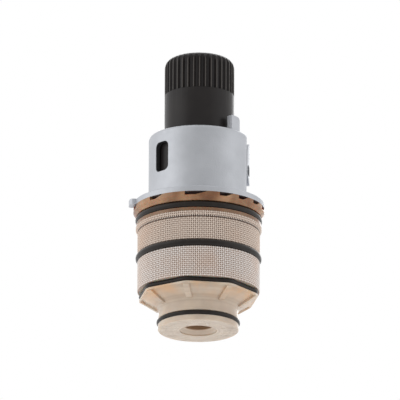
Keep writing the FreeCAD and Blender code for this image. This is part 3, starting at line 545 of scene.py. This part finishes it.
@dataclass
class WovenStrainer:
    """Sleeve of plain square weave round the cage: upright wires and hoops that pass over and under."""

    node: str
    low: float
    high: float
    radius: float = 22.78
    wires: int = 180
    wire_radius: float = 0.28
    upright_swing: float = 0.21
    hoop_swing: float = 0.06
    sides: int = 6

    def levels_between(self, low: float, high: float) -> list[float]:
        """Levels of hoops that fill a stretch of the sleeve, about as far apart as the upright wires.

        Args:
            low: where the stretch starts.
            high: where it ends.

        Returns:
            The levels, from the lowest up.
        """
        pitch = 2 * math.pi * self.radius / self.wires
        count = round((high - low) / pitch)
        step = (high - low) / count
        return [low + step * (i + 0.5) for i in range(count)]

    def hoop_levels(self) -> list[float]:
        """Levels of the sleeve's hoops."""
        return self.levels_between(self.low, self.high)

    def wire_path(self, phase: int) -> list[tuple[float, float]]:
        """Points (radius, level) of an upright wire.

        Args:
            phase: 1 or -1, for a wire that starts outside or inside the first hoop.

        Returns:
            The wire's middle line from the lower edge to the upper one.
        """
        path = [(self.radius, self.low)]
        for i, level in enumerate(self.hoop_levels()):
            side = phase if i % 2 == 0 else -phase
            path.append((self.radius + side * self.upright_swing, level))
        path.append((self.radius, self.high))
        return path

    def add_upright(self, mesh: bmesh.types.BMesh, phase: int) -> list[bmesh.types.BMVert]:
        """Makes one upright wire at azimuth 90.

        Args:
            mesh: where it goes.
            phase: 1 or -1, as in wire_path.

        Returns:
            The wire's vertices.
        """
        path = self.wire_path(phase)
        start = Matrix.Translation(Vector((path[0][0], 0.0, path[0][1])) * MM)
        ring = bmesh.ops.create_circle(
            mesh, segments=self.sides, radius=self.wire_radius * MM, cap_ends=True, matrix=start
        )["verts"]
        made = list(ring)
        cap = ring[0].link_faces[0]
        for (radius_before, level_before), (radius, level) in zip(path, path[1:]):
            grown = bmesh.ops.extrude_face_region(mesh, geom=[cap])["geom"]
            fresh = [part for part in grown if isinstance(part, bmesh.types.BMVert)]
            faces = [part for part in grown if isinstance(part, bmesh.types.BMFace)]
            shift = Vector((radius - radius_before, 0.0, level - level_before)) * MM
            bmesh.ops.translate(mesh, verts=fresh, vec=shift)
            if cap.is_valid and cap is not faces[0] and len(made) > self.sides:
                mesh.faces.remove(cap)
            made += fresh
            cap = faces[0]
        return made

    def hoop(self, phase: int, radius: float) -> bmesh.types.BMesh:
        """Makes one hoop at level 0, which passes the upright wires by turns outside and inside.

        Args:
            phase: 1 or -1, opposite to the upright wires' own.
            radius: its middle radius.

        Returns:
            The hoop.
        """
        mesh = bmesh.new()
        place = Matrix.Translation(Vector((radius, 0.0, 0.0)) * MM)
        upright = Matrix.Rotation(math.radians(90.0), 4, "X")
        bmesh.ops.create_circle(
            mesh, segments=self.sides, radius=self.wire_radius * MM, matrix=place @ upright
        )
        bmesh.ops.spin(
            mesh, geom=list(mesh.verts) + list(mesh.edges), axis=(0, 0, 1), cent=(0, 0, 0),
            angle=2 * math.pi, steps=self.wires, use_merge=True,
        )
        pitch = 2 * math.pi / self.wires
        for vert in mesh.verts:
            turn = round(math.atan2(vert.co.y, vert.co.x) / pitch)
            side = phase if turn % 2 == 0 else -phase
            outward = Vector((vert.co.x, vert.co.y, 0.0)).normalized()
            vert.co += outward * side * self.hoop_swing * MM
        return mesh

    def lay_hoops(self, mesh: bmesh.types.BMesh, levels: list[float], radius: float) -> None:
        """Lays hoops on the sleeve, by turns over and under the same upright wire.

        Args:
            mesh: where they go.
            levels: the height of each.
            radius: their middle radius.
        """
        for i, level in enumerate(levels):
            hoop = self.hoop(-1 if i % 2 == 0 else 1, radius)
            bmesh.ops.translate(hoop, verts=hoop.verts, vec=Vector((0.0, 0.0, level)) * MM)
            laid = bpy.data.meshes.new("hoop")
            hoop.to_mesh(laid)
            hoop.free()
            mesh.from_mesh(laid)
            bpy.data.meshes.remove(laid)

    def shape(self) -> bmesh.types.BMesh:
        """Weaves the sleeve."""
        mesh = bmesh.new()
        pitch = 2 * math.pi / self.wires
        self.add_upright(mesh, 1)
        second = self.add_upright(mesh, -1)
        bmesh.ops.rotate(mesh, verts=second, cent=(0, 0, 0), matrix=Matrix.Rotation(pitch, 3, "Z"))
        geometry = list(mesh.verts) + list(mesh.edges) + list(mesh.faces)
        bmesh.ops.spin(
            mesh, geom=geometry, axis=(0, 0, 1), cent=(0, 0, 0),
            angle=2 * math.pi, steps=self.wires // 2, use_merge=False, use_duplicate=True,
        )
        bmesh.ops.remove_doubles(mesh, verts=mesh.verts, dist=MERGE_DISTANCE * MM)
        self.lay_hoops(mesh, self.hoop_levels(), self.radius)
        return mesh

    def build(self, material: Material) -> Object:
        """Makes the sleeve and lets it stand for the solid of the frame."""
        piece = finished(f"{self.node}_weave", self.shape(), material, ALL_SMOOTH_DEGREES)
        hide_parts(self.node)
        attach(piece, Body.HOUSING.value)
        return piece


@dataclass
class UpperStrainer(WovenStrainer):
    """Upper sleeve, whose wires step out into a wider hem under the land."""

    hem_radius: float = 23.42
    hem_foot: float = 39.0
    sleeve_top: float = 38.3

    def hoop_levels(self) -> list[float]:
        """Levels of the hoops on the sleeve, without the hem's."""
        return self.levels_between(self.low, self.sleeve_top)

    def hem_levels(self) -> list[float]:
        """Levels of the hoops on the hem."""
        return self.levels_between(self.hem_foot, self.high)

    def wire_path(self, phase: int) -> list[tuple[float, float]]:
        """Points (radius, level) of an upright wire, up the sleeve and out into the hem."""
        path = super().wire_path(phase)[:-1]
        path.append((self.radius, self.sleeve_top))
        path.append((self.hem_radius, self.hem_foot))
        for i, level in enumerate(self.hem_levels()):
            side = phase if i % 2 == 0 else -phase
            path.append((self.hem_radius + side * self.upright_swing, level))
        path.append((self.hem_radius, self.high))
        return path

    def shape(self) -> bmesh.types.BMesh:
        """Weaves the sleeve and its hem."""
        mesh = super().shape()
        self.lay_hoops(mesh, self.hem_levels(), self.hem_radius)
        return mesh


@dataclass
class SplinedKnob:
    """Black knob: a lathe shape whose head is fluted all round, with the nut's skirt inside the barrel."""

    node: str = "regulating_nut"
    shank_radius: float = 13.2
    splines: int = 36
    spline_depth: float = 0.88
    steps_per_spline: int = 10
    crown_radius: float = 11.3
    crown_height: float = 3.7
    crown_steps: int = 8
    ring_step: float = 2.0
    groove_start: float = 0.06
    groove_slope: float = 0.40
    relief: float = 0.2
    relief_top: float = 81.94
    rim_round: float = 0.25
    insert_radius: float = 3.52
    insert_depth: float = 9.98
    shoulder: float = 73.05
    skirt_radius: float = 16.9
    skirt_inner: float = 15.2
    web: float = 68.05
    tube_radius: float = 10.38
    thread_radius: float = 7.98
    thread_top: float = 72.54
    hollow_radius: float = 8.4
    hollow_top: float = 92.39

    def groove_foot(self) -> float:
        """Level where the splines start."""
        return top(self.node) - SPLINE_LENGTH

    def crown_profile(self) -> list[tuple[float, float]]:
        """Points (radius, level) of the round shoulder at the knob's top, from the side to the top face."""
        height = top(self.node)
        width = self.shank_radius - self.crown_radius
        points = []
        for i in range(self.crown_steps + 1):
            angle = math.pi / 2 * i / self.crown_steps
            radius = self.crown_radius - width + 2 * width * math.cos(angle)
            level = height - self.crown_height * (1 - math.sin(angle))
            points.append((radius, level))
        return points

    def profile(self) -> list[tuple[float, float]]:
        """Points (radius, level) of the whole section, from the nut's foot outside up and back inside."""
        foot = bottom(self.node)
        height = top(self.node)
        groove_foot = self.groove_foot()
        side = [
            (self.thread_radius, foot),
            (self.tube_radius, foot),
            (self.tube_radius, self.web),
            (self.skirt_inner, self.web),
            (self.skirt_inner, foot),
            (self.skirt_radius, foot),
            (self.skirt_radius, self.shoulder),
            (self.shank_radius - self.relief, self.shoulder),
            (self.shank_radius, self.relief_top + self.relief),
            (self.shank_radius, groove_foot - 0.1),
            (self.shank_radius, groove_foot + 0.1),
            (self.shank_radius, groove_foot + 0.4),
        ]
        crown = self.crown_profile()
        level = groove_foot + self.ring_step
        while level < crown[0][1] - self.ring_step / 2:
            side.append((self.shank_radius, level))
            level += self.ring_step
        inside = [
            (self.insert_radius + self.rim_round, height),
            (self.insert_radius, height - self.rim_round),
            (self.insert_radius, height - self.insert_depth),
            (0.0, height - self.insert_depth),
            (0.0, self.hollow_top),
            (self.hollow_radius - 2.0, self.hollow_top),
            (self.hollow_radius, self.hollow_top - 2.0),
            (self.hollow_radius, self.thread_top),
            (self.thread_radius, self.thread_top),
        ]
        return side + crown + inside

    def flute(self, vert: bmesh.types.BMVert, groove_foot: float) -> None:
        """Sinks a vertex of the head to the floor of its groove, by its azimuth.

        Args:
            vert: the vertex.
            groove_foot: the level where the splines start.
        """
        radius = math.hypot(vert.co.x, vert.co.y) / MM
        level = vert.co.z / MM
        if level < groove_foot:
            return
        turn = math.atan2(vert.co.y, vert.co.x) * self.splines / (2 * math.pi)
        wave = 0.5 - 0.5 * math.cos(2 * math.pi * turn)
        groove = min(1.0, max(0.0, (wave - self.groove_start) / self.groove_slope))
        floor = self.shank_radius - self.spline_depth * groove
        if radius > floor:
            vert.co.x *= floor / radius
            vert.co.y *= floor / radius

    def build(self, material: Material) -> Object:
        """Makes the knob and lets it stand for the solid of the frame."""
        mesh = bmesh.new()
        verts = [mesh.verts.new(Vector((radius, 0.0, level)) * MM) for radius, level in self.profile()]
        edges = [mesh.edges.new(pair) for pair in zip(verts, verts[1:])]
        edges.append(mesh.edges.new((verts[-1], verts[0])))
        bmesh.ops.spin(
            mesh, geom=verts + edges, axis=(0, 0, 1), cent=(0, 0, 0),
            angle=2 * math.pi, steps=self.splines * self.steps_per_spline, use_merge=True,
        )
        bmesh.ops.remove_doubles(mesh, verts=mesh.verts, dist=MERGE_DISTANCE * MM)
        groove_foot = self.groove_foot()
        for vert in mesh.verts:
            self.flute(vert, groove_foot)
        piece = finished("splined_knob", mesh, material, SMOOTH_DEGREES)
        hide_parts(self.node)
        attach(piece, Body.KNOB.value)
        return piece


class Finishes:
    """All finishes of the cartridge, made once, and where each goes on the frame's own solids."""

    def __init__(self) -> None:
        """Makes the materials."""
        self.alloy = CastAlloy().material()
        self.amber = AmberMoulding().material()
        self.cream = CreamMoulding().material()
        self.rubber = SealRubber().material()
        self.black = KnobMoulding().material()
        self.white = MouldedPlastic().material()
        self.wire = WovenWire().material()
        self.brass = BrightMetal("turned_brass", (0.80, 0.60, 0.30), (0.70, 0.50, 0.24), 0.26).material()
        self.steel = BrightMetal("spring_wire", (0.62, 0.62, 0.63), (0.50, 0.50, 0.52), 0.24).material()

    def by_node(self) -> dict[str, Material]:
        """Finish of each solid of the frame."""
        rubber = ["seal_upper", "seal_middle", "seal_lower", "seal_nose", "spindle_seal", "slide_seal"]
        brass = ["handle_screw_insert", "threaded_spindle", "overload_plug", "wax_element"]
        steel = ["return_spring", "overload_spring", "element_piston", "element_clip"]
        white = ["spindle_guide", "knob_washer", "overload_plunger", "regulating_slide"]
        plan = {name: self.rubber for name in rubber}
        plan.update({name: self.brass for name in brass})
        plan.update({name: self.steel for name in steel})
        plan.update({name: self.white for name in white})
        plan["head_housing"] = self.alloy
        plan["cage_body"] = self.amber
        plan["nose_body"] = self.cream
        plan["regulating_nut"] = self.black
        plan["strainer_upper"] = self.wire
        plan["strainer_lower"] = self.wire
        return plan

    def dress(self) -> None:
        """Gives every solid of the frame its finish."""
        for name, material in self.by_node().items():
            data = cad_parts[name].data
            if not data.materials:
                data.materials.append(material)
            for i in range(len(data.materials)):
                data.materials[i] = material
            log.info("%s: %s", name, material.name)


@dataclass(frozen=True)
class Lamp:
    """Soft square lamp: its name, where it hangs and its width in metres, and its power in watts."""

    name: str
    place: Vector
    size: float
    power: float


@dataclass
class Studio:
    """Pale floor, white surround, soft lamps and the camera below the cartridge's middle."""

    lens: float = 1200.0
    sensor: float = 36.0
    distance: float = 5.0504
    elevation: float = -17.0
    aim_level: float = 0.0517
    aim_side: float = 0.00042
    lean: float = 0.29
    front_strength: float = 0.62
    side_strength: float = 1.0
    right_loss: float = 0.10
    floor_half: float = 0.6
    fade_start: float = 0.10
    fade_end: float = 0.45
    floor_colour: Colour = (0.93, 0.93, 0.93)
    lamps: tuple[Lamp, ...] = (
        Lamp("key", Vector((-0.60, -0.25, 0.25)), 0.50, 0.45),
        Lamp("fill", Vector((0.60, -0.25, 0.05)), 0.50, 0.3),
        Lamp("back", Vector((0.10, 0.60, 0.35)), 0.50, 1.5),
    )

    def world(self) -> None:
        """White surround for the camera. As a light it is softer from the front and the right."""
        world = bpy.data.worlds.new("studio")
        bpy.context.scene.world = world
        world.use_nodes = True
        nodes, links = world.node_tree.nodes, world.node_tree.links
        background = nodes["Background"]
        background.inputs["Color"].default_value = (1.0, 1.0, 1.0, 1.0)
        path = nodes.new("ShaderNodeLightPath")
        place = nodes.new("ShaderNodeTexCoord")
        split = nodes.new("ShaderNodeSeparateXYZ")
        links.new(place.outputs["Generated"], split.inputs[0])
        front = nodes.new("ShaderNodeMapRange")
        front.interpolation_type = "SMOOTHSTEP"
        front.inputs["From Min"].default_value = -1.0
        front.inputs["From Max"].default_value = 0.1
        front.inputs["To Min"].default_value = self.front_strength
        front.inputs["To Max"].default_value = self.side_strength
        links.new(split.outputs["Y"], front.inputs["Value"])
        right = nodes.new("ShaderNodeMapRange")
        right.inputs["To Min"].default_value = 1.0
        right.inputs["To Max"].default_value = 1.0 - self.right_loss
        links.new(split.outputs["X"], right.inputs["Value"])
        light = nodes.new("ShaderNodeMath")
        light.operation = "MULTIPLY"
        links.new(front.outputs["Result"], light.inputs[0])
        links.new(right.outputs["Result"], light.inputs[1])
        strength = nodes.new("ShaderNodeMix")
        links.new(path.outputs["Is Camera Ray"], strength.inputs["Factor"])
        links.new(light.outputs[0], strength.inputs["A"])
        strength.inputs["B"].default_value = 1.0
        links.new(strength.outputs["Result"], background.inputs["Strength"])

    def floor(self) -> None:
        """Pale floor that is seen from above only and fades out, so the camera can look up past it."""
        mesh = bmesh.new()
        bmesh.ops.create_grid(mesh, x_segments=1, y_segments=1, size=self.floor_half)
        data = bpy.data.meshes.new("studio_floor")
        mesh.to_mesh(data)
        mesh.free()
        material = bpy.data.materials.new("pale_floor")
        material.use_nodes = True
        nodes, links = material.node_tree.nodes, material.node_tree.links
        surface = nodes["Principled BSDF"]
        surface.inputs["Base Color"].default_value = (*self.floor_colour, 1.0)
        surface.inputs["Roughness"].default_value = 0.7
        clear = nodes.new("ShaderNodeBsdfTransparent")
        side = nodes.new("ShaderNodeNewGeometry")
        place = nodes.new("ShaderNodeTexCoord")
        away = nodes.new("ShaderNodeVectorMath")
        away.operation = "LENGTH"
        links.new(place.outputs["Object"], away.inputs[0])
        fade = nodes.new("ShaderNodeMapRange")
        fade.interpolation_type = "SMOOTHSTEP"
        fade.inputs["From Min"].default_value = self.fade_start
        fade.inputs["From Max"].default_value = self.fade_end
        links.new(away.outputs["Value"], fade.inputs["Value"])
        gone = nodes.new("ShaderNodeMath")
        gone.operation = "MAXIMUM"
        links.new(side.outputs["Backfacing"], gone.inputs[0])
        links.new(fade.outputs["Result"], gone.inputs[1])
        choose = nodes.new("ShaderNodeMixShader")
        links.new(gone.outputs[0], choose.inputs[0])
        links.new(surface.outputs[0], choose.inputs[1])
        links.new(clear.outputs[0], choose.inputs[2])
        links.new(choose.outputs[0], nodes["Material Output"].inputs["Surface"])
        data.materials.append(material)
        floor = bpy.data.objects.new("studio_floor", data)
        bpy.context.scene.collection.objects.link(floor)
        floor.visible_diffuse = False
        floor.visible_glossy = False
        floor.visible_transmission = False
        floor.visible_shadow = False

    def hang(self, lamp: Lamp) -> None:
        """Hangs a lamp that faces the cartridge's middle.

        Args:
            lamp: which one.
        """
        light = bpy.data.lights.new(lamp.name, "AREA")
        light.size = lamp.size
        light.energy = lamp.power
        hung = bpy.data.objects.new(lamp.name, light)
        hung.location = lamp.place
        towards = Vector((0.0, 0.0, self.aim_level)) - lamp.place
        hung.rotation_euler = towards.to_track_quat("-Z", "Y").to_euler()
        bpy.context.scene.collection.objects.link(hung)

    def camera(self) -> None:
        """Camera at the photograph's viewing angle."""
        data = bpy.data.cameras.new("camera")
        data.lens = self.lens
        data.sensor_width = self.sensor
        data.clip_start = 0.01
        data.clip_end = 20.0
        camera = bpy.data.objects.new("camera", data)
        pitch = math.radians(self.elevation)
        back = Vector((0.0, -math.cos(pitch), math.sin(pitch)))
        aim = Vector((self.aim_side, 0.0, self.aim_level))
        turn = (-back).to_track_quat("-Z", "Y").to_matrix().to_4x4()
        roll = Matrix.Rotation(math.radians(self.lean), 4, "Z")
        camera.matrix_world = Matrix.Translation(aim + back * self.distance) @ turn @ roll
        bpy.context.scene.collection.objects.link(camera)
        bpy.context.scene.camera = camera

    def build(self) -> None:
        """Sets up everything round the cartridge."""
        bpy.context.scene.view_settings.view_transform = "Standard"
        self.world()
        self.floor()
        for lamp in self.lamps:
            self.hang(lamp)
        self.camera()


def main() -> None:
    """Dresses the frame, builds the new pieces and the studio."""
    logging.basicConfig(level=logging.INFO, format="%(name)s: %(message)s")
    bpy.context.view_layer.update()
    finishes = Finishes()
    finishes.dress()
    WovenStrainer("strainer_lower", bottom("strainer_lower"), top("strainer_lower")).build(finishes.wire)
    UpperStrainer("strainer_upper", bottom("strainer_upper"), top("strainer_upper")).build(finishes.wire)
    SplinedKnob().build(finishes.black)
    Studio().build()


if __name__ == "__main__":
    main()
